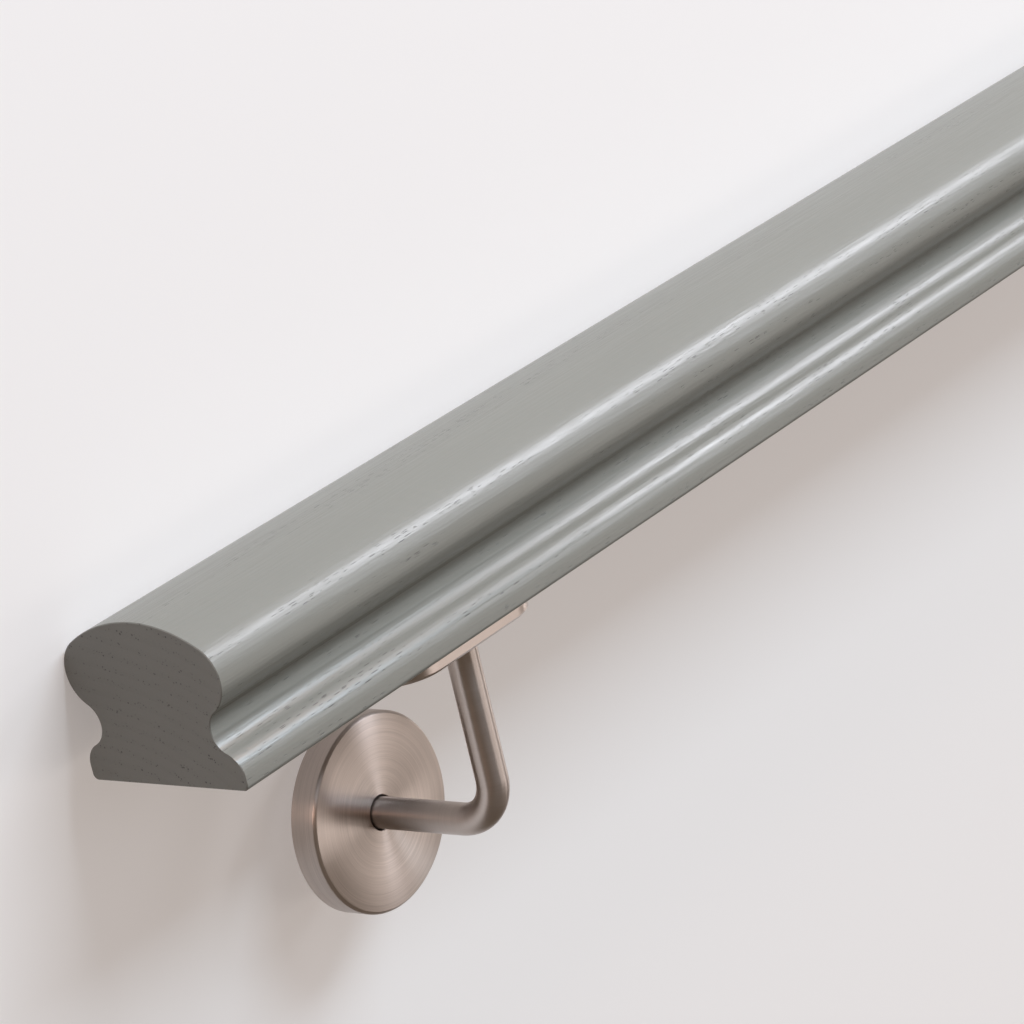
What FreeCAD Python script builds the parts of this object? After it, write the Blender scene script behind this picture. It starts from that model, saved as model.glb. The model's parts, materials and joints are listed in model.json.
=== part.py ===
"""Timber stair handrail length on two stainless steel wall brackets, lying as it rests on a floor.

Everything is drawn as fitted on a stair wall: X runs along the rail, Y goes into the wall and Z is
square to the rail's flat underside. The finished pieces are then laid down on their wall side.
Lengths are in millimetres.
"""

import FreeCAD, Part
import math
import os

from FreeCAD import Vector

# Handrail section, upwards from the flat underside: foot, neck, bulb and crown
RAIL_LENGTH = 1200.0
RAIL_HEIGHT = 57.8
FOOT_HALF_WIDTH = 34.3
FOOT_FLAT_HEIGHT = 5.0
FOOT_CORNER_RADIUS = 2.0
NECK_HALF_WIDTH = 24.4
NECK_BELOW_BULB = 18.1
BULB_HALF_WIDTH = 34.2
BULB_BELOW_CROWN = 19.3
BULB_RADIUS = 13.2
END_EDGE_CHAMFER = 0.5

# Brackets along the rail
BRACKET_COUNT = 2
END_TO_BRACKET = 148.5

# Arm: a round bar, square to the wall and then up to the rail
ARM_DIAMETER = 12.0
ARM_BEND_RADIUS = 18.0
ARM_OFFSET = -5.0
ARM_TO_WALL = 67.7
ARM_DROP = 82.9

# Saddle plate under the rail; its longer arm reaches towards the nearer end of the rail
SADDLE_LENGTH = 82.0
SADDLE_WIDTH = 41.0
SADDLE_THICKNESS = 8.0
SADDLE_CORNER_RADIUS = 18.5
SADDLE_EDGE_CHAMFER = 1.2
SADDLE_SHIFT = 12.0
SADDLE_SCREW_SPACING = 56.0
SADDLE_SCREW_HOLE = 4.8
SADDLE_SCREW_HEAD = 9.6

# Wall flange, welded to the arm and screwed to the wall
FLANGE_CLEARANCE = 0.3
FLANGE_THICKNESS = 4.0
FLANGE_SCREW_CIRCLE = 48.0
FLANGE_SCREW_COUNT = 3
FLANGE_SCREW_HOLE = 5.5

# Cover rose, a spun cap that hides the flange
ROSE_DIAMETER = 75.0
ROSE_DEPTH = 11.5
ROSE_WALL = 1.5
ROSE_EDGE_CHAMFER = 1.0
ROSE_ARM_CLEARANCE = 0.6

# Directions
ALONG = Vector(1, 0, 0)
TO_ROOM = Vector(0, -1, 0)
UP = Vector(0, 0, 1)

# Sizes that follow from the ones above
WALL_PLANE = ARM_OFFSET + ARM_TO_WALL
ROSE_RADIUS = ROSE_DIAMETER / 2
FLANGE_RADIUS = ROSE_RADIUS - ROSE_WALL - FLANGE_CLEARANCE
ARM_RADIUS = ARM_DIAMETER / 2
BULB_HEIGHT = RAIL_HEIGHT - BULB_BELOW_CROWN
NECK_HEIGHT = BULB_HEIGHT - NECK_BELOW_BULB
BULB_CENTRE = (BULB_HALF_WIDTH - BULB_RADIUS, BULB_HEIGHT)
CROWN_RADIUS = (BULB_CENTRE[0] ** 2 + BULB_BELOW_CROWN**2 - BULB_RADIUS**2) / (2 * (BULB_BELOW_CROWN - BULB_RADIUS))
CROWN_CENTRE = (0.0, RAIL_HEIGHT - CROWN_RADIUS)


def cove_radius():
    """Radius of the cove that turns upright at the neck and runs smoothly into the bulb."""
    across = BULB_CENTRE[0] - NECK_HALF_WIDTH
    rise = BULB_HEIGHT - NECK_HEIGHT
    return (across**2 + rise**2 - BULB_RADIUS**2) / (2 * (BULB_RADIUS + across))


def foot_radius(cove):
    """Radius of the foot's shoulder, which stands upright at the foot's side and meets the cove."""
    across = NECK_HALF_WIDTH + cove - FOOT_HALF_WIDTH
    rise = NECK_HEIGHT - FOOT_FLAT_HEIGHT
    return (across**2 + rise**2 - cove**2) / (2 * (cove - across))


def towards(start, end, distance):
    """The point that far from start on the line to end, as (y, z)."""
    length = math.hypot(end[0] - start[0], end[1] - start[1])
    return (
        start[0] + (end[0] - start[0]) * distance / length,
        start[1] + (end[1] - start[1]) * distance / length,
    )


def half_section():
    """One side of the rail's section from the foot up to the crown: (end point, middle point of its arc)."""
    cove = cove_radius()
    foot = foot_radius(cove)
    cove_centre = (NECK_HALF_WIDTH + cove, NECK_HEIGHT)
    foot_centre = (FOOT_HALF_WIDTH - foot, FOOT_FLAT_HEIGHT)
    corner_centre = (FOOT_HALF_WIDTH - FOOT_CORNER_RADIUS, FOOT_CORNER_RADIUS)
    foot_to_cove = towards(foot_centre, cove_centre, foot)
    cove_to_bulb = towards(BULB_CENTRE, cove_centre, BULB_RADIUS)
    bulb_to_crown = towards(CROWN_CENTRE, BULB_CENTRE, CROWN_RADIUS)
    foot_side = (FOOT_HALF_WIDTH, FOOT_FLAT_HEIGHT)

    def middle(centre, radius, first, last):
        return towards(centre, ((first[0] + last[0]) / 2, (first[1] + last[1]) / 2), radius)

    corner_start = (corner_centre[0], 0.0)
    corner_end = (FOOT_HALF_WIDTH, FOOT_CORNER_RADIUS)
    return [
        (corner_start, None),
        (corner_end, middle(corner_centre, FOOT_CORNER_RADIUS, corner_start, corner_end)),
        (foot_side, None),
        (foot_to_cove, middle(foot_centre, foot, foot_side, foot_to_cove)),
        (cove_to_bulb, (NECK_HALF_WIDTH, NECK_HEIGHT)),
        (bulb_to_crown, (BULB_HALF_WIDTH, BULB_HEIGHT)),
    ]


def section_edges(steps, side):
    """Edges of one half of the section; side is 1 towards the wall and -1 towards the room."""

    def point(p):
        return Vector(0, side * p[0], p[1])

    edges = []
    for (start, _), (end, via) in zip(steps, steps[1:]):
        if via is None:
            edges.append(Part.makeLine(point(start), point(end)))
        else:
            edges.append(Part.Arc(point(start), point(via), point(end)).toShape())
    return edges


def handrail():
    """The moulded rail: one extruded section, its two ends cut square, their edges eased."""
    steps = half_section()
    foot_edge = steps[0][0][0]
    crown_edge = steps[-1][0]
    base = Part.makeLine(Vector(0, -foot_edge, 0), Vector(0, foot_edge, 0))
    crown = Part.Arc(
        Vector(0, -crown_edge[0], crown_edge[1]),
        Vector(0, 0, RAIL_HEIGHT),
        Vector(0, crown_edge[0], crown_edge[1]),
    ).toShape()
    edges = [base, crown] + section_edges(steps, 1) + section_edges(steps, -1)
    outline = Part.Wire(Part.__sortEdges__(edges))
    rail = Part.Face(outline).extrude(ALONG * RAIL_LENGTH)
    end_edges = [edge for edge in rail.Edges if edge.BoundBox.XLength < END_EDGE_CHAMFER]
    return rail.makeChamfer(END_EDGE_CHAMFER, end_edges)


def saddle_plate(arm_x):
    """The flat plate that the rail sits on, with two countersunk holes for the rail's screws."""
    x = arm_x + (SADDLE_SHIFT if arm_x > RAIL_LENGTH / 2 else -SADDLE_SHIFT)
    bottom = -SADDLE_THICKNESS
    block = Part.makeBox(
        SADDLE_LENGTH,
        SADDLE_WIDTH,
        SADDLE_THICKNESS,
        Vector(x - SADDLE_LENGTH / 2, ARM_OFFSET - SADDLE_WIDTH / 2, bottom),
    )
    corners = [edge for edge in block.Edges if abs(edge.tangentAt(edge.FirstParameter).z) > 0.5]
    plate = block.makeFillet(SADDLE_CORNER_RADIUS, corners)
    lower_edges = [edge for edge in plate.Edges if abs(edge.BoundBox.ZMax - bottom) < 0.01]
    plate = plate.makeChamfer(SADDLE_EDGE_CHAMFER, lower_edges)
    sink_depth = (SADDLE_SCREW_HEAD - SADDLE_SCREW_HOLE) / 2
    for side in (-1, 1):
        centre = Vector(x + side * SADDLE_SCREW_SPACING / 2, ARM_OFFSET, bottom)
        hole = Part.makeCylinder(SADDLE_SCREW_HOLE / 2, SADDLE_THICKNESS, centre, UP)
        sink = Part.makeCone(SADDLE_SCREW_HEAD / 2, SADDLE_SCREW_HOLE / 2, sink_depth, centre, UP)
        plate = plate.cut(hole.fuse(sink))
    return plate


def bracket_arm(x):
    """Round bar from the wall flange out to the room, round one bend and up to the saddle plate."""
    wall_end = Vector(x, WALL_PLANE - FLANGE_THICKNESS, -ARM_DROP)
    bend_start = Vector(x, ARM_OFFSET + ARM_BEND_RADIUS, -ARM_DROP)
    bend_end = Vector(x, ARM_OFFSET, -ARM_DROP + ARM_BEND_RADIUS)
    quarter = ARM_BEND_RADIUS * (1 - math.sqrt(0.5))
    bend_middle = Vector(x, ARM_OFFSET + quarter, -ARM_DROP + quarter)
    top = Vector(x, ARM_OFFSET, -SADDLE_THICKNESS)
    path = Part.Wire(
        [
            Part.makeLine(wall_end, bend_start),
            Part.Arc(bend_start, bend_middle, bend_end).toShape(),
            Part.makeLine(bend_end, top),
        ]
    )
    section = Part.Wire(Part.makeCircle(ARM_RADIUS, wall_end, TO_ROOM))
    return path.makePipeShell([section], True, False)


def wall_flange(x):
    """Round flange on the arm's wall end, with its ring of wall screw holes."""
    back = Vector(x, WALL_PLANE, -ARM_DROP)
    flange = Part.makeCylinder(FLANGE_RADIUS, FLANGE_THICKNESS, back, TO_ROOM)
    for number in range(FLANGE_SCREW_COUNT):
        angle = math.radians(90) + 2 * math.pi * number / FLANGE_SCREW_COUNT
        spoke = Vector(math.cos(angle), 0, math.sin(angle)) * (FLANGE_SCREW_CIRCLE / 2)
        flange = flange.cut(Part.makeCylinder(FLANGE_SCREW_HOLE / 2, FLANGE_THICKNESS, back + spoke, TO_ROOM))
    return flange


def cover_rose(x):
    """Round cap over the flange, open to the wall, with a hole that clears the arm."""
    back = Vector(x, WALL_PLANE, -ARM_DROP)
    cap = Part.makeCylinder(ROSE_RADIUS, ROSE_DEPTH, back, TO_ROOM)
    front_y = WALL_PLANE - ROSE_DEPTH
    front_edge = [edge for edge in cap.Edges if abs(edge.BoundBox.YMax - front_y) < 0.01]
    cap = cap.makeChamfer(ROSE_EDGE_CHAMFER, front_edge)
    inside = Part.makeCylinder(ROSE_RADIUS - ROSE_WALL, ROSE_DEPTH - ROSE_WALL, back, TO_ROOM)
    arm_hole = Part.makeCylinder(ARM_RADIUS + ROSE_ARM_CLEARANCE, ROSE_DEPTH, back, TO_ROOM)
    return cap.cut(inside.fuse(arm_hole))


def rest_tilt():
    """Angle between the wall plane and the floor that the roses' upper rims and the rail's bulb rest on."""
    rim_height = ROSE_RADIUS - ARM_DROP
    across = WALL_PLANE - BULB_CENTRE[0]
    rise = BULB_HEIGHT - rim_height
    return math.atan2(across, rise) - math.asin(BULB_RADIUS / math.hypot(across, rise))


def rest_placement():
    """Lays the fitted rail down on its wall side, with the middle of its length and width at the origin."""
    tilt = rest_tilt()
    rim_height = ROSE_RADIUS - ARM_DROP
    lift = WALL_PLANE * math.cos(tilt) + rim_height * math.sin(tilt)
    crown_reach = CROWN_CENTRE[1] * math.cos(tilt) + CROWN_RADIUS
    rose_reach = -WALL_PLANE * math.sin(tilt) - (ARM_DROP + ROSE_RADIUS) * math.cos(tilt)
    turn = FreeCAD.Rotation(ALONG, -90 - math.degrees(tilt))
    shift = Vector(-RAIL_LENGTH / 2, -(crown_reach + rose_reach) / 2, lift)
    return FreeCAD.Placement(shift, turn)


def bracket_places():
    """Distances of the brackets from the rail's lower end."""
    spacing = (RAIL_LENGTH - 2 * END_TO_BRACKET) / (BRACKET_COUNT - 1)
    return [END_TO_BRACKET + spacing * number for number in range(BRACKET_COUNT)]


def main():
    pieces = {"handrail": handrail()}
    for number, x in enumerate(bracket_places(), start=1):
        pieces[f"saddle_plate_{number}"] = saddle_plate(x)
        pieces[f"bracket_arm_{number}"] = bracket_arm(x)
        pieces[f"wall_flange_{number}"] = wall_flange(x)
        pieces[f"cover_rose_{number}"] = cover_rose(x)
    placement = rest_placement()
    os.makedirs("parts", exist_ok=True)
    for name, shape in pieces.items():
        shape.Placement = placement.multiply(shape.Placement)
        shape.exportStep(f"parts/{name}.step")
        print(name, "valid", shape.isValid(), "volume", round(shape.Volume / 1000, 2), "cm3")
    print("rest tilt", round(math.degrees(rest_tilt()), 3), "placement", placement)


main()
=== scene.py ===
import json
import math

import bmesh
import bpy
from mathutils import Euler, Matrix, Vector


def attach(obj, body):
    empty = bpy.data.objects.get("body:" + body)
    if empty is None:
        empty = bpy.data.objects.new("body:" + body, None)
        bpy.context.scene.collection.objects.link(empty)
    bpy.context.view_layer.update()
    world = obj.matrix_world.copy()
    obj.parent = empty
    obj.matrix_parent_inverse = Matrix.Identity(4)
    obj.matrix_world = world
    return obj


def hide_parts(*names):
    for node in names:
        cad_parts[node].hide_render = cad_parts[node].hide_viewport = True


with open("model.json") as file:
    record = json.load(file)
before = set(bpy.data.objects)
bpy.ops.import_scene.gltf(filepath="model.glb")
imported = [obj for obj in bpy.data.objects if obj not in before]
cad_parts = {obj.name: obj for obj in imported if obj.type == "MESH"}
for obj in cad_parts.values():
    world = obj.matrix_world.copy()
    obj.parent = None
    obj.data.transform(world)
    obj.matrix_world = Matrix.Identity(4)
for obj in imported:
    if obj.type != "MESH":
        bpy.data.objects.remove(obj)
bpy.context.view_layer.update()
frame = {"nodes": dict(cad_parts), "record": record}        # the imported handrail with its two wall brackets
mm = 0.001
creases = {"swept": 35, "turned": 25, "copied": 28}      # edges bent by more degrees stay sharp

# The rail is drawn as it hangs on a wall: x along it, y into the wall, z square to its underside.
# The mounts say how that stands in the part's own frame, where it lies on its wall side.
# Sizes of pieces are in millimetres; patterns, lamps and the camera are in metres.
rail = {
    "height": 57.8,
    "footHalfWidth": 34.3,
    "footFlatHeight": 5.0,
    "footCornerRadius": 2.0,
    "neckHalfWidth": 24.4,
    "neckBelowBulb": 18.1,
    "bulbHalfWidth": 34.2,
    "bulbBelowCrown": 19.3,
    "bulbRadius": 13.2,
    "easedEdge": 0.3,
    "arcSteps": 18,
    "rings": 9,
}
mounts = {mount["name"]: mount for mount in frame["record"]["mounts"]}
bracketNumbers = [name[-1] for name in sorted(mounts) if name.startswith("wall_face_")]
along = Vector(mounts["upper_end"]["axis"])
toWall = Vector(mounts["wall_face_1"]["axis"])
upward = along.cross(toWall)
lowerEnd = Vector(mounts["lower_end"]["pos_m"])
railLength = (Vector(mounts["upper_end"]["pos_m"]) - lowerEnd).length
railFoot = lowerEnd - upward * rail["height"] * mm / 2
fitted = Matrix((along, toWall, upward)).transposed().to_4x4()
fitted.translation = railFoot


def bracketPlace(number):      # where the bar's centre line meets the wall, as fitted
    return fitted.inverted() @ Vector(mounts["wall_face_" + number]["pos_m"])


# Small helpers

def node(tree, kind, **settings):
    made = tree.nodes.new(kind)
    for key, value in settings.items():
        setattr(made, key, value)
    return made


def link(tree, source, target):
    tree.links.new(source, target)


def newGroup(name, treeKind, inputs, outputs):
    # a node group with named inputs and outputs. Gives it with its input node and its output node
    group = bpy.data.node_groups.new(name, treeKind)
    for side, sockets in (("INPUT", inputs), ("OUTPUT", outputs)):
        for label, kind in sockets:
            group.interface.new_socket(label, in_out=side, socket_type=kind)
    return group, node(group, "NodeGroupInput"), node(group, "NodeGroupOutput")


def newTree(name, inputs):
    # geometry and the named inputs go in, and geometry comes out
    geometry = [("Geometry", "NodeSocketGeometry")]
    return newGroup(name, "GeometryNodeTree", geometry + inputs, geometry)


def placed(name, data):
    # a new object in the scene that holds the data
    made = bpy.data.objects.new(name, data)
    bpy.context.scene.collection.objects.link(made)
    return made


def curveObject(name, points, closed):
    # a poly curve through the points, in metres
    data = bpy.data.curves.new(name, "CURVE")
    data.dimensions = "3D"
    spline = data.splines.new("POLY")
    spline.points.add(len(points) - 1)
    for point, place in zip(spline.points, points):
        point.co = (*place, 1.0)
    spline.use_cyclic_u = closed
    return placed(name, data)


def meshFromTree(source, tree, values, name):
    # runs the tree on the source object and gives the result as one plain mesh object
    modifier = source.modifiers.new("shape", "NODES")
    modifier.node_group = tree
    for item in tree.interface.items_tree:
        if item.item_type == "SOCKET" and item.in_out == "INPUT" and item.name in values:
            modifier[item.identifier] = values[item.name]
    bpy.context.view_layer.update()
    seen = source.evaluated_get(bpy.context.evaluated_depsgraph_get())
    mesh = bpy.data.meshes.new_from_object(seen)
    source.modifiers.remove(modifier)
    bpy.data.objects.remove(source)
    mesh.name = name
    return placed(name, mesh)


def shapeObject(name, shape, crease, material):
    # the bmesh as an object of one material; edges bent past the crease stay sharp
    for edge in shape.edges:
        if edge.calc_face_angle(0) > math.radians(crease):
            edge.smooth = False
    mesh = bpy.data.meshes.new(name)
    shape.to_mesh(mesh)
    shape.free()
    mesh.materials.append(material)
    return placed(name, mesh)


def settle(piece, place, nodes):
    # puts the mesh where it is fitted, and says what it rides on and what it replaces
    piece.data.transform(place)
    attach(piece, "root")
    if nodes:
        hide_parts(*nodes)
    return piece


def finishTree(tree, geometry, start, end):
    # marks sharp edges, realizes instances and sets the material. Gives the tree's last node
    angle = node(tree, "GeometryNodeInputMeshEdgeAngle")
    crisp = node(tree, "FunctionNodeCompare", operation="GREATER_THAN")
    crisp.inputs[1].default_value = math.radians(creases["swept"])
    flat = node(tree, "GeometryNodeSetShadeSmooth", domain="EDGE")
    flat.inputs["Shade Smooth"].default_value = False
    realize = node(tree, "GeometryNodeRealizeInstances")
    cover = node(tree, "GeometryNodeSetMaterial")
    link(tree, angle.outputs["Unsigned Angle"], crisp.inputs[0])
    link(tree, geometry, flat.inputs["Geometry"])
    link(tree, crisp.outputs["Result"], flat.inputs["Selection"])
    link(tree, flat.outputs["Geometry"], realize.inputs["Geometry"])
    link(tree, realize.outputs["Geometry"], cover.inputs["Geometry"])
    link(tree, start.outputs["Material"], cover.inputs["Material"])
    link(tree, cover.outputs["Geometry"], end.inputs["Geometry"])
    return cover


# Shader groups: brushed metal, and the open pores of ash under paint

timber = {      # the tree's heart lies below the rail, towards the wall
    "heartIn": 0.045,
    "heartBelow": 0.107,
    "ringSpacing": 0.0050,
    "ringDrift": 0.004,
    "swayScale": (1.2, 14.0, 14.0),
}
pore = {      # pores open in the first part of a ring, in patches; sizes are shares of a cell
    "from": (0.0, 0.08),
    "to": (0.25, 0.60),
    "least": 0.20,
    "spread": 0.26,
    "edge": (0.80, 1.02),
    "patchScale": (11.0, 110.0, 110.0),
    "patchEdge": (0.43, 0.56),
    "grainScale": (38.0, 1000.0, 1000.0),
}
brush = {      # what the fine scratches and the broad streaks among them do to tone and gloss
    "broadScale": (0.12, 0.12, 0.12),
    "fineTone": 0.45,
    "broadTone": 0.25,
    "unevenness": 0.20,
}


def maths(tree, operation, first, second=None, clamp=False):
    # a Math node; an input is a socket or a number. Gives its output socket
    made = node(tree, "ShaderNodeMath", operation=operation, use_clamp=clamp)
    for socket, value in zip(made.inputs, (first, second)):
        if value is None:
            continue
        if isinstance(value, (int, float)):
            socket.default_value = value
        else:
            link(tree, value, socket)
    return made.outputs[0]


def stretched(tree, vector, scale):
    # the vector times a scale for each axis
    made = node(tree, "ShaderNodeVectorMath", operation="MULTIPLY")
    link(tree, vector, made.inputs[0])
    made.inputs[1].default_value = scale
    return made.outputs[0]


def noise(tree, vector, detail=2.0, roughness=0.5):
    made = node(tree, "ShaderNodeTexNoise")
    made.inputs["Scale"].default_value = 1.0
    made.inputs["Detail"].default_value = detail
    made.inputs["Roughness"].default_value = roughness
    link(tree, vector, made.inputs["Vector"])
    return made.outputs["Fac"]


def ramp(tree, value, low, high, toLow=0.0, toHigh=1.0):
    # smooth step of a value between low and high
    made = node(tree, "ShaderNodeMapRange", interpolation_type="SMOOTHSTEP")
    made.inputs["From Min"].default_value = low
    made.inputs["From Max"].default_value = high
    made.inputs["To Min"].default_value = toLow
    made.inputs["To Max"].default_value = toHigh
    link(tree, value, made.inputs["Value"])
    return made.outputs["Result"]


def makePoreGroup():
    # open pores of ring-porous timber, from the position as fitted: dashes along x, dots across it
    group, start, end = newGroup(
        "openPores", "ShaderNodeTree",
        [("Position", "NodeSocketVector"), ("Cells", "NodeSocketVector"),
         ("Cover", "NodeSocketFloat"), ("Patchiness", "NodeSocketFloat")],
        [("Pores", "NodeSocketFloat"), ("Grain", "NodeSocketFloat"), ("Rings", "NodeSocketFloat")],
    )
    place = start.outputs["Position"]
    split = node(group, "ShaderNodeSeparateXYZ")
    link(group, place, split.inputs[0])
    across = maths(group, "SUBTRACT", split.outputs["Y"], timber["heartIn"])
    rise = maths(group, "ADD", split.outputs["Z"], timber["heartBelow"])
    acrossSquared = maths(group, "MULTIPLY", across, across)
    riseSquared = maths(group, "MULTIPLY", rise, rise)
    reach = maths(group, "SQRT", maths(group, "ADD", acrossSquared, riseSquared))
    sway = noise(group, stretched(group, place, timber["swayScale"]))
    drift = maths(group, "MULTIPLY", maths(group, "SUBTRACT", sway, 0.5), timber["ringDrift"])
    ringCount = maths(group, "DIVIDE", maths(group, "ADD", reach, drift), timber["ringSpacing"])
    ring = maths(group, "FRACT", ringCount)
    opening = ramp(group, ring, *pore["from"])
    closing = ramp(group, ring, *pore["to"], toLow=1.0, toHigh=0.0)
    early = maths(group, "MULTIPLY", opening, closing)
    cells = node(group, "ShaderNodeTexVoronoi", feature="F1")
    cells.inputs["Scale"].default_value = 1.0
    sized = node(group, "ShaderNodeVectorMath", operation="MULTIPLY")
    link(group, place, sized.inputs[0])
    link(group, start.outputs["Cells"], sized.inputs[1])
    link(group, sized.outputs[0], cells.inputs["Vector"])
    chosen = node(group, "ShaderNodeSeparateColor")
    link(group, cells.outputs["Color"], chosen.inputs[0])
    size = maths(group, "ADD", pore["least"], maths(group, "MULTIPLY", chosen.outputs[1], pore["spread"]))
    reached = maths(group, "DIVIDE", cells.outputs["Distance"], size)
    dots = ramp(group, reached, *pore["edge"], toLow=1.0, toHigh=0.0)
    kept = maths(group, "LESS_THAN", chosen.outputs[0], start.outputs["Cover"])
    clumps = noise(group, stretched(group, place, pore["patchScale"]), detail=3.0, roughness=0.6)
    patches = ramp(group, clumps, *pore["patchEdge"])
    bare = maths(group, "MULTIPLY", maths(group, "SUBTRACT", 1.0, patches), start.outputs["Patchiness"])
    spread = maths(group, "MULTIPLY", early, maths(group, "SUBTRACT", 1.0, bare))
    pores = maths(group, "MULTIPLY", maths(group, "MULTIPLY", dots, kept), spread)
    grain = noise(group, stretched(group, place, pore["grainScale"]), detail=3.0, roughness=0.6)
    link(group, pores, end.inputs["Pores"])
    link(group, grain, end.inputs["Grain"])
    link(group, early, end.inputs["Rings"])
    return group


def makeBrushGroup():
    # fine parallel scratches: the position comes in stretched along them
    group, start, end = newGroup(
        "brushedScratches", "ShaderNodeTree",
        [("Position", "NodeSocketVector"), ("Base", "NodeSocketColor"),
         ("Depth", "NodeSocketFloat"), ("Roughness", "NodeSocketFloat")],
        [("Color", "NodeSocketColor"), ("Roughness", "NodeSocketFloat"), ("Height", "NodeSocketFloat")],
    )
    fine = noise(group, start.outputs["Position"], detail=4.0, roughness=0.7)
    broad = noise(group, stretched(group, start.outputs["Position"], brush["broadScale"]))
    fineTone = maths(group, "MULTIPLY", maths(group, "SUBTRACT", fine, 0.5), brush["fineTone"])
    broadTone = maths(group, "MULTIPLY", maths(group, "SUBTRACT", broad, 0.5), brush["broadTone"])
    tone = maths(group, "ADD", fineTone, broadTone)
    value = maths(group, "ADD", 1.0, maths(group, "MULTIPLY", tone, start.outputs["Depth"]))
    shade = node(group, "ShaderNodeHueSaturation")
    link(group, start.outputs["Base"], shade.inputs["Color"])
    link(group, value, shade.inputs["Value"])
    link(group, shade.outputs[0], end.inputs["Color"])
    uneven = maths(group, "MULTIPLY", tone, brush["unevenness"])
    link(group, maths(group, "ADD", start.outputs["Roughness"], uneven), end.inputs["Roughness"])
    link(group, fine, end.inputs["Height"])
    return group


poreGroup = makePoreGroup()
brushGroup = makeBrushGroup()


def newMaterial(name):
    material = bpy.data.materials.new(name)
    material.use_nodes = True
    tree = material.node_tree
    shader = tree.nodes["Principled BSDF"]
    return material, tree, shader


def fittedPosition(tree):
    # object coordinates turned into the fitted rail's own axes
    coords = node(tree, "ShaderNodeTexCoord")
    mapping = node(tree, "ShaderNodeMapping", vector_type="TEXTURE")
    mapping.inputs["Location"].default_value = fitted.translation
    mapping.inputs["Rotation"].default_value = fitted.to_euler()
    link(tree, coords.outputs["Object"], mapping.inputs["Vector"])
    return mapping.outputs[0]


def bumped(tree, shader, height, strength, distance):
    bump = node(tree, "ShaderNodeBump")
    bump.inputs["Strength"].default_value = strength
    bump.inputs["Distance"].default_value = distance
    link(tree, height, bump.inputs["Height"])
    link(tree, bump.outputs["Normal"], shader.inputs["Normal"])


paint = {
    # the near-black pore colour is painted shade in the open pores
    "poreColor": (0.035, 0.034, 0.030, 1.0),
    "poreDepth": 0.00020,
    "grainRise": 0.9,
    "grainGloss": 0.26,
    "shine": 0.62,
    "cloudScale": (5.0, 40.0, 40.0),
    "cloudEdge": (0.3, 0.7),
    "cloudTone": (0.98, 1.02),
    "long": {
        "color": (0.167, 0.170, 0.150, 1.0),
        "cells": (210.0, 2700.0, 2700.0),
        "cover": 0.34,
        "patchiness": 1.0,
        "ringTone": 0.02,
        "poreShare": 0.90,
        "roughness": 0.35,
        "relief": 0.6,
    },
    "end": {
        # the end's colour is a little darker than the long grain's: painted shade for the sawn end turned
        # from the lamps
        "color": (0.157, 0.155, 0.138, 1.0),
        "cells": (50.0, 1100.0, 1100.0),
        "cover": 0.30,
        "patchiness": 0.6,
        "ringTone": 0.03,
        "poreShare": 0.85,
        "roughness": 0.5,
        "relief": 0.3,
    },
}


def paintMaterial(name, look):
    # satin paint that has sunk into the timber's open pores; the pores are darkened with painted shade
    material, tree, shader = newMaterial(name)
    place = fittedPosition(tree)
    pores = node(tree, "ShaderNodeGroup", node_tree=poreGroup)
    pores.inputs["Cells"].default_value = look["cells"]
    pores.inputs["Cover"].default_value = look["cover"]
    pores.inputs["Patchiness"].default_value = look["patchiness"]
    link(tree, place, pores.inputs["Position"])
    clouds = noise(tree, stretched(tree, place, paint["cloudScale"]))
    tone = ramp(tree, clouds, *paint["cloudEdge"], *paint["cloudTone"])
    ringTone = maths(tree, "MULTIPLY", pores.outputs["Rings"], look["ringTone"])
    shade = node(tree, "ShaderNodeHueSaturation")
    shade.inputs["Color"].default_value = look["color"]
    link(tree, maths(tree, "SUBTRACT", tone, ringTone), shade.inputs["Value"])
    # the pores are mixed towards the near-black colour: painted shade in the open pores
    # inputs 6 and 7 of the mix are its two colors, and output 2 is the mixed one
    tint = node(tree, "ShaderNodeMix", data_type="RGBA")
    link(tree, shade.outputs[0], tint.inputs[6])
    tint.inputs[7].default_value = paint["poreColor"]
    link(tree, maths(tree, "MULTIPLY", pores.outputs["Pores"], look["poreShare"]), tint.inputs[0])
    link(tree, tint.outputs[2], shader.inputs["Base Color"])
    grain = maths(tree, "SUBTRACT", pores.outputs["Grain"], 0.5)
    gloss = maths(tree, "MULTIPLY", grain, paint["grainGloss"])
    link(tree, maths(tree, "ADD", look["roughness"], gloss), shader.inputs["Roughness"])
    shader.inputs["Specular IOR Level"].default_value = paint["shine"]
    rise = maths(tree, "MULTIPLY", grain, paint["grainRise"])
    height = maths(tree, "SUBTRACT", rise, pores.outputs["Pores"])
    bumped(tree, shader, height, look["relief"], paint["poreDepth"])
    return material


steel = {      # each finish has the scale of its scratches and what they do to tone and gloss
    # the steel's own colour, with a warm pink in it that is painted reflection of warm surroundings
    "color": (0.54, 0.485, 0.455, 1.0),
    "relief": 0.15,
    "scratchDepth": 0.00005,
    "spun": {"scale": (0.8, 2200.0), "tone": 1.5, "roughness": 0.33, "anisotropy": 0.9},
    "drawn": {"scale": (1400.0, 6.0, 1.0), "tone": 0.5, "roughness": 0.35, "anisotropy": 0.6},
    "mill": {"scale": (40.0, 1800.0, 1.0), "tone": 0.35, "roughness": 0.30, "anisotropy": 0.3},
    "screw": {"scale": (900.0, 900.0, 1.0), "tone": 0.2, "roughness": 0.30, "anisotropy": 0.0},
}


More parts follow.
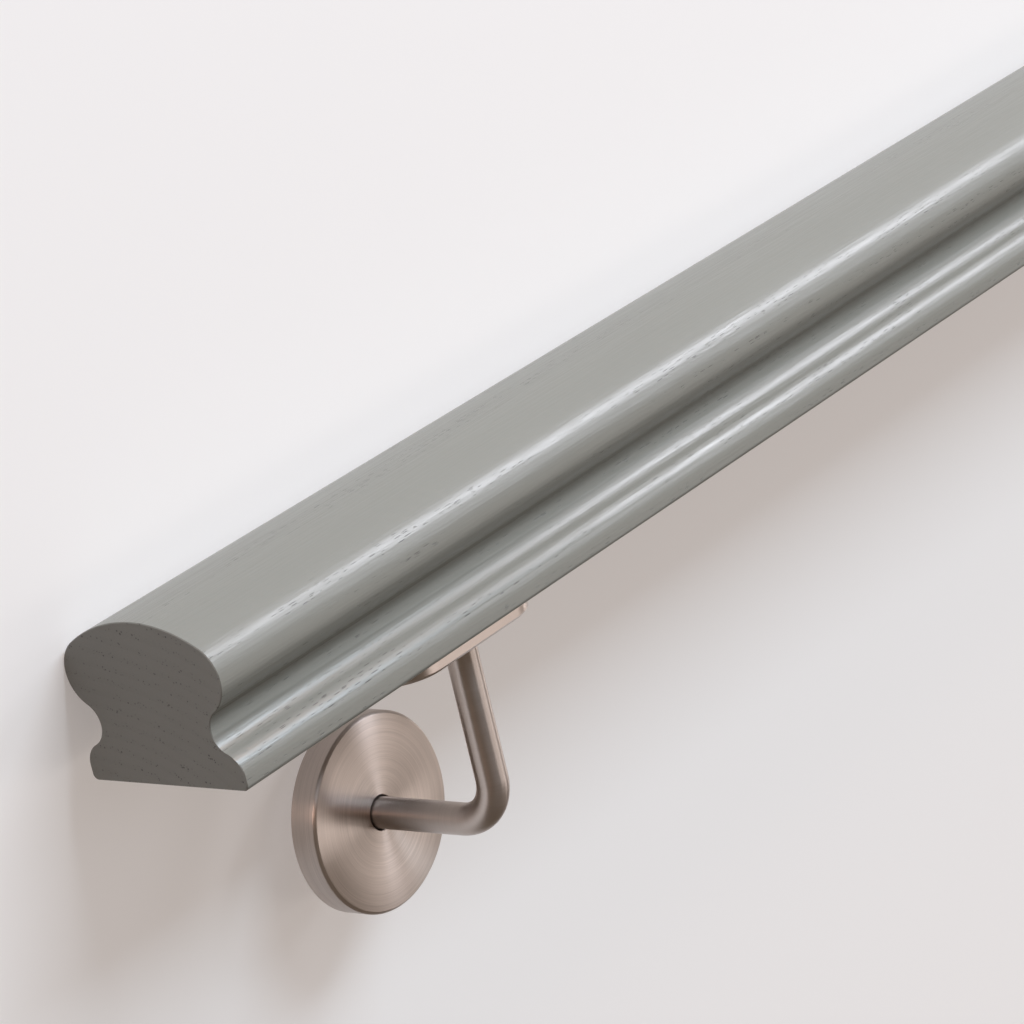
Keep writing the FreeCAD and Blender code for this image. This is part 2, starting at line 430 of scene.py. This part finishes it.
def steelShader(name, place, look):
    # place is a function that gives the scratches' position from the piece's own UV, in metres
    material, tree, shader = newMaterial(name)
    uv = node(tree, "ShaderNodeUVMap", uv_map="brushing")
    brushed = node(tree, "ShaderNodeGroup", node_tree=brushGroup)
    link(tree, place(tree, uv.outputs["UV"], look["scale"]), brushed.inputs["Position"])
    brushed.inputs["Base"].default_value = steel["color"]
    brushed.inputs["Depth"].default_value = look["tone"]
    brushed.inputs["Roughness"].default_value = look["roughness"]
    link(tree, brushed.outputs["Color"], shader.inputs["Base Color"])
    link(tree, brushed.outputs["Roughness"], shader.inputs["Roughness"])
    shader.inputs["Metallic"].default_value = 1.0
    shader.inputs["Anisotropic"].default_value = look["anisotropy"]
    tangent = node(tree, "ShaderNodeTangent", direction_type="UV_MAP", uv_map="brushing")
    link(tree, tangent.outputs[0], shader.inputs["Tangent"])
    bumped(tree, shader, brushed.outputs["Height"], steel["relief"], steel["scratchDepth"])
    return material


def spunPlace(tree, uv, scale):
    # u is the distance along the profile and v the turn, so a circle of scratches closes on itself
    radius, pitch = scale
    split = node(tree, "ShaderNodeSeparateXYZ")
    link(tree, uv, split.inputs[0])
    turn = maths(tree, "MULTIPLY", split.outputs["Y"], 2 * math.pi)
    joined = node(tree, "ShaderNodeCombineXYZ")
    link(tree, maths(tree, "MULTIPLY", maths(tree, "COSINE", turn), radius), joined.inputs["X"])
    link(tree, maths(tree, "MULTIPLY", maths(tree, "SINE", turn), radius), joined.inputs["Y"])
    link(tree, maths(tree, "MULTIPLY", split.outputs["X"], pitch), joined.inputs["Z"])
    return joined.outputs[0]


sidePaint = paintMaterial("satinPaintLongGrain", paint["long"])
endPaint = paintMaterial("satinPaintEndGrain", paint["end"])
roseSteel = steelShader("spunSteel", spunPlace, steel["spun"])
barSteel = steelShader("drawnSteel", stretched, steel["drawn"])
plateSteel = steelShader("millSteel", stretched, steel["mill"])
screwSteel = steelShader("screwSteel", stretched, steel["screw"])
print("materials made")


# The rail

def sectionPoints(size):
    # the closed section as (y, z) in millimetres, an arc for each curve of the moulding
    flatSteps, fewestSteps, nearest = 4, 4, 0.01
    bulbHeight = size["height"] - size["bulbBelowCrown"]
    neckHeight = bulbHeight - size["neckBelowBulb"]
    bulb = Vector((size["bulbHalfWidth"] - size["bulbRadius"], bulbHeight))
    across = bulb.x - size["neckHalfWidth"]
    rise = size["neckBelowBulb"]
    coveRadius = (across ** 2 + rise ** 2 - size["bulbRadius"] ** 2) / (2 * (size["bulbRadius"] + across))
    across = size["neckHalfWidth"] + coveRadius - size["footHalfWidth"]
    rise = neckHeight - size["footFlatHeight"]
    footRadius = (across ** 2 + rise ** 2 - coveRadius ** 2) / (2 * (coveRadius - across))
    drop = size["bulbBelowCrown"]
    crownRadius = (bulb.x ** 2 + drop ** 2 - size["bulbRadius"] ** 2) / (2 * (drop - size["bulbRadius"]))
    cove = Vector((size["neckHalfWidth"] + coveRadius, neckHeight))
    foot = Vector((size["footHalfWidth"] - footRadius, size["footFlatHeight"]))
    corner = Vector((size["footHalfWidth"] - size["footCornerRadius"], size["footCornerRadius"]))
    crown = Vector((0, size["height"] - crownRadius))

    def direction(centre, point):
        return math.atan2(point.y - centre.y, point.x - centre.x) % (2 * math.pi)

    toCove = direction(foot, cove)
    toBulb = direction(cove, bulb)
    shoulder = direction(crown, bulb)
    arcs = [      # centre, radius, first and last angle, and its share of steps
        (corner, size["footCornerRadius"], -math.pi / 2, 0.0, 0.5),
        (foot, footRadius, 0.0, toCove, 1),
        (cove, coveRadius, toCove + math.pi, toBulb, 1.2),
        (bulb, size["bulbRadius"], toBulb - math.pi, shoulder, 1.6),
        (crown, crownRadius, shoulder, math.pi / 2, 1),
    ]
    half = [Vector((corner.x * step / flatSteps, 0)) for step in range(flatSteps)]
    for centre, radius, first, last, share in arcs:
        count = max(fewestSteps, round(size["arcSteps"] * share))
        for step in range(count + 1):
            angle = first + (last - first) * step / count
            point = centre + radius * Vector((math.cos(angle), math.sin(angle)))
            if (point - half[-1]).length > nearest:
                half.append(point)
    return half + [Vector((-point.x, point.y)) for point in reversed(half[1:-1])]


def railTree():
    # the section swept up z, with its ends drawn in a little to ease their edges
    tree, start, end = newTree("sweptMoulding", [
        ("Length", "NodeSocketFloat"), ("Eased edge", "NodeSocketFloat"),
        ("End scale", "NodeSocketFloat"), ("Rings", "NodeSocketInt"),
        ("Material", "NodeSocketMaterial"), ("End material", "NodeSocketMaterial"),
    ])
    line = node(tree, "GeometryNodeCurvePrimitiveLine")
    reach = node(tree, "ShaderNodeCombineXYZ")
    rings = node(tree, "GeometryNodeResampleCurve")
    link(tree, start.outputs["Length"], reach.inputs["Z"])
    link(tree, reach.outputs[0], line.inputs["End"])
    link(tree, line.outputs["Curve"], rings.inputs["Curve"])
    link(tree, start.outputs["Rings"], rings.inputs["Count"])
    index = node(tree, "GeometryNodeInputIndex")
    last = maths(tree, "SUBTRACT", start.outputs["Rings"], 1.0)
    nextToLast = maths(tree, "SUBTRACT", start.outputs["Rings"], 2.0)
    top = maths(tree, "SUBTRACT", start.outputs["Length"], start.outputs["Eased edge"])

    def isRing(which):      # inputs 2 and 3 of the node compare whole numbers
        compare = node(tree, "FunctionNodeCompare", data_type="INT", operation="EQUAL")
        link(tree, index.outputs[0], compare.inputs[2])
        if isinstance(which, int):
            compare.inputs[3].default_value = which
        else:
            link(tree, which, compare.inputs[3])
        return compare.outputs[0]

    def moved(curve, selection, socket):
        place = node(tree, "ShaderNodeCombineXYZ")
        link(tree, socket, place.inputs["Z"])
        setter = node(tree, "GeometryNodeSetPosition")
        link(tree, curve, setter.inputs["Geometry"])
        link(tree, selection, setter.inputs["Selection"])
        link(tree, place.outputs[0], setter.inputs["Position"])
        return setter.outputs["Geometry"]

    # the second ring and the last but one stand one eased edge in from the ends
    curve = moved(rings.outputs["Curve"], isRing(1), start.outputs["Eased edge"])
    curve = moved(curve, isRing(nextToLast), top)
    ends = node(tree, "FunctionNodeBooleanMath", operation="OR")
    link(tree, isRing(0), ends.inputs[0])
    link(tree, isRing(last), ends.inputs[1])
    scale = node(tree, "GeometryNodeSwitch", input_type="FLOAT")
    scale.inputs["False"].default_value = 1.0
    link(tree, ends.outputs[0], scale.inputs["Switch"])
    link(tree, start.outputs["End scale"], scale.inputs["True"])
    sweep = node(tree, "GeometryNodeCurveToMesh")
    sweep.inputs["Fill Caps"].default_value = True
    link(tree, curve, sweep.inputs["Curve"])
    link(tree, start.outputs["Geometry"], sweep.inputs["Profile Curve"])
    link(tree, scale.outputs[0], sweep.inputs["Scale"])
    # a face that looks along the sweep is a sawn end
    facing = node(tree, "GeometryNodeInputNormal")
    facingParts = node(tree, "ShaderNodeSeparateXYZ")
    isEnd = node(tree, "FunctionNodeCompare", operation="GREATER_THAN")
    isEnd.inputs[1].default_value = 0.5
    link(tree, facing.outputs[0], facingParts.inputs[0])
    link(tree, maths(tree, "ABSOLUTE", facingParts.outputs["Z"]), isEnd.inputs[0])
    whole = finishTree(tree, sweep.outputs["Mesh"], start, end)
    endCover = node(tree, "GeometryNodeSetMaterial")
    link(tree, whole.outputs["Geometry"], endCover.inputs["Geometry"])
    link(tree, isEnd.outputs[0], endCover.inputs["Selection"])
    link(tree, start.outputs["End material"], endCover.inputs["Material"])
    link(tree, endCover.outputs["Geometry"], end.inputs["Geometry"])
    return tree


def makeRail():
    points = sectionPoints(rail)
    middle = Vector((0, rail["height"] / 2))
    outline = [((point.x - middle.x) * mm, (point.y - middle.y) * mm, 0) for point in points]
    section = curveObject("railSection", outline, True)
    made = meshFromTree(section, railTree(), {
        "Length": railLength,
        "Eased edge": rail["easedEdge"] * mm,
        "End scale": 1 - 2 * rail["easedEdge"] / rail["height"],
        "Rings": rail["rings"],
        "Material": sidePaint,
        "End material": endPaint,
    }, "paintedRail")
    # the sweep runs up z with the section in x and y; lay it along the fitted rail
    turned = Matrix(((0, 0, 1, 0), (1, 0, 0, 0), (0, 1, 0, rail["height"] / 2 * mm), (0, 0, 0, 1)))
    made.data.transform(turned)
    return settle(made, fitted, ["handrail"])


# The brackets

bar = {"diameter": 12.0, "bendRadius": 18.0, "offset": -5.0, "drop": 82.9, "around": 64, "bendSteps": 28}
plate = {"thickness": 8.0}
flange = {"thickness": 4.0}
rose = {
    "diameter": 75.0,
    "depth": 11.5,
    "wall": 1.5,
    "chamfer": 1.0,
    "hole": 13.2,
    "softEdge": 0.25,
    "slightEdge": 0.1,
    "innerCorner": 0.6,
    "faceRing": 0.6,      # rings that only split the flat face and the rim, as shares of their size
    "rimRing": 0.5,
    "around": 160,
}


def barTree():
    # a round bar swept along a polyline whose corners are rounded
    tree, start, end = newTree("bentBar", [
        ("Radius", "NodeSocketFloat"), ("Bend radius", "NodeSocketFloat"),
        ("Bend steps", "NodeSocketInt"), ("Around", "NodeSocketInt"),
        ("Material", "NodeSocketMaterial"),
    ])
    bend = node(tree, "GeometryNodeFilletCurve", mode="POLY")
    ring = node(tree, "GeometryNodeCurvePrimitiveCircle")
    sweep = node(tree, "GeometryNodeCurveToMesh")
    sweep.inputs["Fill Caps"].default_value = True
    link(tree, start.outputs["Geometry"], bend.inputs["Curve"])
    link(tree, start.outputs["Bend radius"], bend.inputs["Radius"])
    link(tree, start.outputs["Bend steps"], bend.inputs["Count"])
    link(tree, start.outputs["Around"], ring.inputs["Resolution"])
    link(tree, start.outputs["Radius"], ring.inputs["Radius"])
    # how far along the bar and round it each point lies is kept for the scratches
    runs = node(tree, "GeometryNodeSplineParameter")
    keepRun = node(tree, "GeometryNodeCaptureAttribute")
    keepRun.capture_items.new("FLOAT", "Run")
    keepTurn = node(tree, "GeometryNodeCaptureAttribute")
    keepTurn.capture_items.new("FLOAT", "Turn")
    link(tree, bend.outputs["Curve"], keepRun.inputs["Geometry"])
    link(tree, runs.outputs["Length"], keepRun.inputs[1])
    link(tree, ring.outputs["Curve"], keepTurn.inputs["Geometry"])
    link(tree, runs.outputs["Length"], keepTurn.inputs[1])
    link(tree, keepRun.outputs["Geometry"], sweep.inputs["Curve"])
    link(tree, keepTurn.outputs["Geometry"], sweep.inputs["Profile Curve"])
    both = node(tree, "ShaderNodeCombineXYZ")
    link(tree, keepRun.outputs[1], both.inputs["X"])
    link(tree, keepTurn.outputs[1], both.inputs["Y"])
    store = node(tree, "GeometryNodeStoreNamedAttribute", data_type="FLOAT2", domain="CORNER")
    store.inputs["Name"].default_value = "brushing"
    link(tree, sweep.outputs["Mesh"], store.inputs["Geometry"])
    link(tree, both.outputs[0], store.inputs["Value"])
    finishTree(tree, store.outputs["Geometry"], start, end)
    return tree


def lathe(name, profile, around, material):
    # turns a closed (radius, height) profile in millimetres about z; u runs along the profile, v round it
    shape = bmesh.new()
    layer = shape.loops.layers.uv.new("brushing")
    lengths = [0.0]
    for first, second in zip(profile, profile[1:] + profile[:1]):
        lengths.append(lengths[-1] + math.dist(first, second))
    poles = {k: shape.verts.new((0, 0, h * mm)) for k, (r, h) in enumerate(profile) if r == 0}
    rings = []
    for step in range(around):
        angle = 2 * math.pi * step / around
        across, deep = math.cos(angle) * mm, math.sin(angle) * mm
        rings.append([
            poles.get(k) or shape.verts.new((r * across, r * deep, h * mm))
            for k, (r, h) in enumerate(profile)
        ])
    for step in range(around):
        ring, nextRing = rings[step], rings[(step + 1) % around]
        for k in range(len(profile)):
            n = (k + 1) % len(profile)
            corners = {}
            vertices = (ring[k], nextRing[k], nextRing[n], ring[n])
            places = ((k, step), (k, step + 1), (k + 1, step + 1), (k + 1, step))
            for vertex, place in zip(vertices, places):
                corners.setdefault(vertex, place)
            if len(corners) < 3:
                continue
            face = shape.faces.new(corners)
            for loop, (u, v) in zip(face.loops, corners.values()):
                loop[layer].uv = (lengths[u] * mm, v / around)
            face.smooth = True
    bmesh.ops.recalc_face_normals(shape, faces=shape.faces)
    return shapeObject(name, shape, creases["turned"], material)


def mergedCopy(nodeName, name, material):
    # the CAD piece's own shape as a joined mesh with smooth rounds, brushed along the rail
    sameSpot = 0.000002
    shape = bmesh.new()
    shape.from_mesh(frame["nodes"][nodeName].data)
    bmesh.ops.remove_doubles(shape, verts=shape.verts, dist=sameSpot)
    layer = shape.loops.layers.uv.new("brushing")
    back = fitted.inverted()
    for face in shape.faces:
        face.smooth = True
        for loop in face.loops:
            place = back @ loop.vert.co
            loop[layer].uv = (place.x, place.z + place.y)
    return shapeObject(name, shape, creases["copied"], material)


def roseProfile():
    # the cup's section as (radius, height): the hole, the face, the rim and the inside
    outer, inner = rose["diameter"] / 2, rose["hole"] / 2
    depth, wall, chamfer = rose["depth"], rose["wall"], rose["chamfer"]
    soft, slight, corner = rose["softEdge"], rose["slightEdge"], rose["innerCorner"]
    return [
        (inner, depth - wall), (inner, depth - soft),
        (inner + soft, depth), (outer * rose["faceRing"], depth),
        (outer - chamfer - soft, depth), (outer - chamfer, depth - slight),
        (outer - slight, depth - chamfer), (outer, depth - chamfer - soft),
        (outer, depth * rose["rimRing"]), (outer, soft),
        (outer - soft, 0), (outer - wall, 0),
        (outer - wall, depth - wall - corner), (outer - wall - corner, depth - wall),
    ]


def makeBracket(number, tree):
    wall = bracketPlace(number)
    x, wallY = wall.x, wall.y
    armY = bar["offset"] * mm
    low = -bar["drop"] * mm
    flangeFace, plateFace = wallY - flange["thickness"] * mm, -plate["thickness"] * mm
    path = [(x, flangeFace, low), (x, armY, low), (x, armY, plateFace)]
    arm = meshFromTree(curveObject("barPath" + number, path, False), tree, {
        "Radius": bar["diameter"] / 2 * mm,
        "Bend radius": bar["bendRadius"] * mm,
        "Bend steps": bar["bendSteps"],
        "Around": bar["around"],
        "Material": barSteel,
    }, "bentArm" + number)
    settle(arm, fitted, ["bracket_arm_" + number])

    cap = lathe("coverRose" + number, roseProfile(), rose["around"], roseSteel)
    # the lathe stands on the wall plane and rises towards the room
    stand = Matrix(((1, 0, 0, x), (0, 0, -1, wallY), (0, 1, 0, low), (0, 0, 0, 1)))
    cap.data.transform(stand)
    settle(cap, fitted, ["cover_rose_" + number])

    for nodeName, name in (("saddle_plate_", "saddlePlate"), ("wall_flange_", "wallFlange")):
        copy = mergedCopy(nodeName + number, name + number, plateSteel)
        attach(copy, "root")
        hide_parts(nodeName + number)


screw = {
    "head": 9.2,
    "headDepth": 2.3,
    "headEdge": 0.2,
    "shank": 4.2,
    "length": 6.0,
    "recess": 4.6,
    "recessWidth": 1.0,
    "recessDepth": 1.3,
    "spacing": 56.0,
    "count": 2,
    "sunk": 0.1,
    "turnSeed": 7,
    "around": 48,
}


def screwTree():
    # a cross is cut into the one head that comes in, and the screw is set at each place along x
    tree, start, end = newTree("drivenScrews", [
        ("Count", "NodeSocketInt"), ("Spacing", "NodeSocketFloat"),
        ("Recess", "NodeSocketFloat"), ("Recess width", "NodeSocketFloat"),
        ("Recess depth", "NodeSocketFloat"), ("Material", "NodeSocketMaterial"),
    ])
    cut = node(tree, "GeometryNodeMeshBoolean", operation="DIFFERENCE")
    link(tree, start.outputs["Geometry"], cut.inputs["Mesh 1"])
    deep = maths(tree, "MULTIPLY", start.outputs["Recess depth"], 2.0)
    for swap in (False, True):
        size = node(tree, "ShaderNodeCombineXYZ")
        block = node(tree, "GeometryNodeMeshCube")
        link(tree, start.outputs["Recess"], size.inputs["Y" if swap else "X"])
        link(tree, start.outputs["Recess width"], size.inputs["X" if swap else "Y"])
        link(tree, deep, size.inputs["Z"])
        link(tree, size.outputs[0], block.inputs["Size"])
        link(tree, block.outputs["Mesh"], cut.inputs["Mesh 2"])
    row = node(tree, "GeometryNodeMeshLine")
    step = node(tree, "ShaderNodeCombineXYZ")
    first = node(tree, "ShaderNodeCombineXYZ")
    link(tree, start.outputs["Spacing"], step.inputs["X"])
    link(tree, maths(tree, "MULTIPLY", start.outputs["Spacing"], -0.5), first.inputs["X"])
    link(tree, start.outputs["Count"], row.inputs["Count"])
    link(tree, first.outputs[0], row.inputs["Start Location"])
    link(tree, step.outputs[0], row.inputs["Offset"])
    turn = node(tree, "FunctionNodeRandomValue", data_type="FLOAT")
    turn.inputs["Seed"].default_value = screw["turnSeed"]
    angles = node(tree, "ShaderNodeCombineXYZ")
    link(tree, maths(tree, "MULTIPLY", turn.outputs[1], math.pi / 2), angles.inputs["Z"])
    spread = node(tree, "GeometryNodeInstanceOnPoints")
    link(tree, row.outputs["Mesh"], spread.inputs["Points"])
    link(tree, cut.outputs["Mesh"], spread.inputs["Instance"])
    link(tree, angles.outputs[0], spread.inputs["Rotation"])
    finishTree(tree, spread.outputs["Instances"], start, end)
    return tree


def makeScrews(number, tree):
    back = fitted.inverted()
    places = [back @ vertex.co for vertex in frame["nodes"]["saddle_plate_" + number].data.vertices]
    middle = [(min(p[k] for p in places) + max(p[k] for p in places)) / 2 for k in range(2)]
    underside = min(p.z for p in places)
    head, shank, edge = screw["head"] / 2, screw["shank"] / 2, screw["headEdge"]
    profile = [
        (0, 0), (head - edge, 0), (head, -edge),
        (shank, -screw["headDepth"]), (shank, -screw["length"]), (0, -screw["length"]),
    ]
    one = lathe("screwHead", profile, screw["around"], screwSteel)
    pair = meshFromTree(one, tree, {
        "Count": screw["count"],
        "Spacing": screw["spacing"] * mm,
        "Recess": screw["recess"] * mm,
        "Recess width": screw["recessWidth"] * mm,
        "Recess depth": screw["recessDepth"] * mm,
        "Material": screwSteel,
    }, "saddleScrews" + number)
    # turned over about x, with its face sunk a little into the countersink
    face = underside + screw["sunk"] * mm
    stand = Matrix(((1, 0, 0, middle[0]), (0, -1, 0, middle[1]), (0, 0, -1, face), (0, 0, 0, 1)))
    pair.data.transform(stand)
    settle(pair, fitted, [])


railPiece = makeRail()
print("rail made,", len(railPiece.data.polygons), "faces")
sharedBar = barTree()
sharedScrews = screwTree()
for number in bracketNumbers:
    makeBracket(number, sharedBar)
    makeScrews(number, sharedScrews)
print("brackets made:", len(bracketNumbers))


# Floor, light and camera

studio = {
    "floorColor": (0.92, 0.93, 0.93, 1.0),
    "floorWhite": (1.0, 0.915, 0.88, 1.0),
    "whiteShare": 0.30,
    "floorRoughness": 0.9,
    "floorSpecular": 0.2,
    "floorSize": 24.0,
    "worldColor": (1.0, 0.78, 0.60, 1.0),
    "worldStrength": 0.16,
    "aim": (-0.35, 0.03, 0.03),
    "lampDistance": 4.5,
}
skyWhite = (0.76, 0.88, 1.0)
coolWhite = (0.90, 0.92, 1.0)
paleWhite = (1.0, 0.91, 0.86)
warmWhite = (1.0, 0.68, 0.55)
lamps = {      # the way to each soft box from the aim by the near bracket, its size and its power
    "key": {"way": (0.08, 0.88, 0.46), "size": (2.7, 1.2), "power": 194.0, "color": skyWhite},
    "warmSide": {"way": (0.10, 0.97, 0.20), "size": (2.4, 0.75), "power": 68.0, "color": warmWhite},
    "streak": {"way": (0.73, 0.64, 0.22), "size": (1.5, 1.3), "power": 100.0, "color": coolWhite},
    "ahead": {"way": (0.73, 0.38, 0.57), "size": (1.3, 0.8), "power": 19.0, "color": coolWhite},
    "aheadHigh": {"way": (0.72, -0.14, 0.68), "size": (2.4, 1.1), "power": 10.5, "color": paleWhite},
    "aheadLow": {"way": (0.95, -0.20, 0.20), "size": (1.8, 0.9), "power": 10.0, "color": paleWhite},
    "overhead": {"way": (0.38, 0.0, 0.92), "size": (1.0, 2.4), "power": 13.0, "color": paleWhite},
    "endSide": {"way": (-0.90, 0.42, 0.12), "size": (1.5, 1.2), "power": 22.0, "color": warmWhite},
    "rimSide": {"way": (-0.40, 0.70, 0.58), "size": (2.4, 1.2), "power": 13.0, "color": coolWhite},
}
camera = {
    "place": (-1.4704, 0.76242, 0.76365),
    "turn": (-32.0174, -54.5856, 3.9529),
    "lens": 143.98,
    "sensor": 36.0,
    "clip": (0.05, 50.0),
}


def makeFloor():
    half = studio["floorSize"] / 2
    mesh = bpy.data.meshes.new("floor")
    corners = [(-half, -half, 0), (half, -half, 0), (half, half, 0), (-half, half, 0)]
    mesh.from_pydata(corners, [], [(0, 1, 2, 3)])
    floor = placed("floor", mesh)
    material, tree, shader = newMaterial("paleFloor")
    shader.inputs["Base Color"].default_value = studio["floorColor"]
    shader.inputs["Roughness"].default_value = studio["floorRoughness"]
    shader.inputs["Specular IOR Level"].default_value = studio["floorSpecular"]
    # part of what is seen of the floor, straight or mirrored, is plain white; the rest keeps the shadow
    rays = node(tree, "ShaderNodeLightPath")
    seen = maths(tree, "ADD", rays.outputs["Is Camera Ray"], rays.outputs["Is Glossy Ray"])
    seen = maths(tree, "ADD", seen, rays.outputs["Is Transmission Ray"], clamp=True)
    glow = node(tree, "ShaderNodeEmission")
    glow.inputs["Color"].default_value = studio["floorWhite"]
    blend = node(tree, "ShaderNodeMixShader")
    link(tree, maths(tree, "MULTIPLY", seen, studio["whiteShare"]), blend.inputs[0])
    link(tree, shader.outputs[0], blend.inputs[1])
    link(tree, glow.outputs[0], blend.inputs[2])
    link(tree, blend.outputs[0], tree.nodes["Material Output"].inputs["Surface"])
    mesh.materials.append(material)


def makeLight():
    # the soft boxes, and a faint warm glow all round
    for name, lamp in lamps.items():
        light = bpy.data.lights.new(name, "AREA")
        light.shape = "RECTANGLE"
        light.size, light.size_y = lamp["size"]
        light.energy = lamp["power"]
        light.color = lamp["color"]
        holder = placed(name, light)
        direction = Vector(lamp["way"]).normalized()
        holder.location = Vector(studio["aim"]) + direction * studio["lampDistance"]
        holder.rotation_euler = direction.to_track_quat("Z", "Y").to_euler()
    world = bpy.data.worlds.new("studio")
    world.use_nodes = True
    background = world.node_tree.nodes["Background"]
    background.inputs["Color"].default_value = studio["worldColor"]
    background.inputs["Strength"].default_value = studio["worldStrength"]
    bpy.context.scene.world = world


def makeCamera():
    data = bpy.data.cameras.new("view")
    data.lens = camera["lens"]
    data.sensor_width = camera["sensor"]
    data.clip_start, data.clip_end = camera["clip"]
    holder = placed("view", data)
    holder.location = camera["place"]
    holder.rotation_euler = Euler([math.radians(angle) for angle in camera["turn"]])
    bpy.context.scene.camera = holder


makeFloor()
makeLight()
makeCamera()
bpy.context.scene.view_settings.view_transform = "Standard"
print("studio made")
